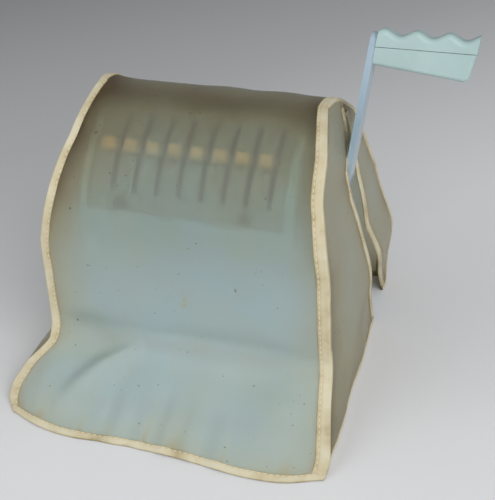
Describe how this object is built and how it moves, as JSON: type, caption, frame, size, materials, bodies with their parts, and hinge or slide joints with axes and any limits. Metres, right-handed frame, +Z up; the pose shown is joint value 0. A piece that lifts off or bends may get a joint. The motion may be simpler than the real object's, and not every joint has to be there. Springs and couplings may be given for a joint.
{
  "type": "cheque writing machine",
  "caption": "Cheque writing machine with curved keyboard and side lever, standing under a slit vinyl dust cover with taped seams; lever lifts a platen, selectors turn type sectors",
  "frame": {"origin": "on the floor under the middle of the head's width, 22 mm in front of the selector shaft", "axes": "X to the lever side, Y to the back, Z up"},
  "size_m": [0.2992, 0.2705, 0.255],
  "materials": {
    "painted_cast": "pale blue stove enamel",
    "painted_sheet": "pale blue enamel",
    "panel_paint": "satin grey enamel",
    "steel": "plain steel",
    "black_steel": "black oxide",
    "rubber": "hard rubber",
    "bronze": "sintered bronze",
    "lever_paint": "pale blue enamel",
    "grip_plastic": "mint green moulded plastic",
    "key_plastic": "cream moulded plastic",
    "felt": "inked felt",
    "vinyl": "frosted clear vinyl, aged",
    "tape": "cream woven tape"
  },
  "bodies": {
    "machine": {"base_casting": "painted_cast", "bottom_plate": "steel", "rubber_feet": "rubber", "cheque_table": "steel", "left_frame": "steel", "right_frame": "steel", "tie_bars": "steel", "back_stop": "steel", "selector_shaft": "steel", "spacing_collars": "steel", "detent_comb": "steel", "head_housing": "painted_sheet", "keyboard_panel": "panel_paint", "panel_thumbscrews": "black_steel", "rear_cover": "painted_sheet", "machine_screws": "steel", "shaft_bushes": "bronze", "guide_posts": "steel", "return_spring": "steel"},
    "lever": {"main_shaft": "steel", "lever_hub": "steel", "lever_arm": "lever_paint", "hub_cap": "steel", "lifter_arms": "steel", "grip_upper": "grip_plastic", "grip_lower": "grip_plastic", "grip_screws": "steel"},
    "platen": {"platen_bar": "steel", "platen_pad": "rubber"},
    "inker": {"ink_core": "steel", "ink_felt": "felt"},
    "gauge": {"side_gauge": "steel"},
    "lock": {"lock_barrel": "steel"},
    "cover": {"cover_strip": "vinyl", "cover_left_side": "vinyl", "cover_right_front": "vinyl", "cover_right_flap": "vinyl", "seam_tape_left": "tape", "seam_tape_right": "tape", "hem_tape": "tape", "slit_tape_front": "tape", "slit_tape_rear": "tape"},
    "column_1": {"selector_1": "steel", "key_1": "key_plastic"},
    "column_2": {"selector_2": "steel", "key_2": "key_plastic"},
    "column_3": {"selector_3": "steel", "key_3": "key_plastic"},
    "column_4": {"selector_4": "steel", "key_4": "key_plastic"},
    "column_5": {"selector_5": "steel", "key_5": "key_plastic"},
    "column_6": {"selector_6": "steel", "key_6": "key_plastic"},
    "column_7": {"selector_7": "steel", "key_7": "key_plastic"},
    "column_8": {"selector_8": "steel", "key_8": "key_plastic"}
  },
  "joints": [
    {"name": "lever_pull", "type": "hinge", "parent": "machine", "child": "lever", "pos_m": [0, 0.011, 0.019], "axis": [1, 0, 0], "range_deg": [0, 30], "stiffness_Nm_per_rad": 1.2, "springref_deg": -51.57, "deforming": ["cover_right_front", "slit_tape_front"]},
    {"name": "platen_lift", "type": "slide", "parent": "machine", "child": "platen", "axis": [0, 0, 1], "range_m": [0, 0.0082]},
    {"name": "ink_roller_spin", "type": "hinge", "parent": "machine", "child": "inker", "pos_m": [0.005, 0.09009, 0.06191], "axis": [1, 0, 0], "continuous": true},
    {"name": "gauge_slide", "type": "slide", "parent": "machine", "child": "gauge", "axis": [1, 0, 0], "range_m": [0, 0.04]},
    {"name": "lock_turn", "type": "hinge", "parent": "machine", "child": "lock", "pos_m": [0, 0.09065, 0.14829], "axis": [0, 0.9686, 0.2487], "range_deg": [0, 90]},
    {"name": "cover_lift", "type": "slide", "parent": "machine", "child": "cover", "axis": [0, -0.0995, 0.995], "range_m": [0, 0.27], "deforming": ["cover_right_flap", "slit_tape_rear"]},
    {"name": "selector_1_set", "type": "hinge", "parent": "machine", "child": "column_1", "pos_m": [-0.05303, 0.022, 0.13], "axis": [1, 0, 0], "range_deg": [-20, 20]},
    {"name": "selector_2_set", "type": "hinge", "parent": "machine", "child": "column_2", "pos_m": [-0.03687, 0.022, 0.13], "axis": [1, 0, 0], "range_deg": [-20, 20]},
    {"name": "selector_3_set", "type": "hinge", "parent": "machine", "child": "column_3", "pos_m": [-0.02073, 0.022, 0.13], "axis": [1, 0, 0], "range_deg": [-20, 20]},
    {"name": "selector_4_set", "type": "hinge", "parent": "machine", "child": "column_4", "pos_m": [-0.00458, 0.022, 0.13], "axis": [1, 0, 0], "range_deg": [-20, 20]},
    {"name": "selector_5_set", "type": "hinge", "parent": "machine", "child": "column_5", "pos_m": [0.01158, 0.022, 0.13], "axis": [1, 0, 0], "range_deg": [-20, 20]},
    {"name": "selector_6_set", "type": "hinge", "parent": "machine", "child": "column_6", "pos_m": [0.02772, 0.022, 0.13], "axis": [1, 0, 0], "range_deg": [-20, 20]},
    {"name": "selector_7_set", "type": "hinge", "parent": "machine", "child": "column_7", "pos_m": [0.04387, 0.022, 0.13], "axis": [1, 0, 0], "range_deg": [-20, 20]},
    {"name": "selector_8_set", "type": "hinge", "parent": "machine", "child": "column_8", "pos_m": [0.06003, 0.022, 0.13], "axis": [1, 0, 0], "range_deg": [-20, 20]}
  ],
  "couplings": [
    {"joint": "platen_lift", "follows": "lever_pull", "m_per_rad": 0.015274}
  ]
}
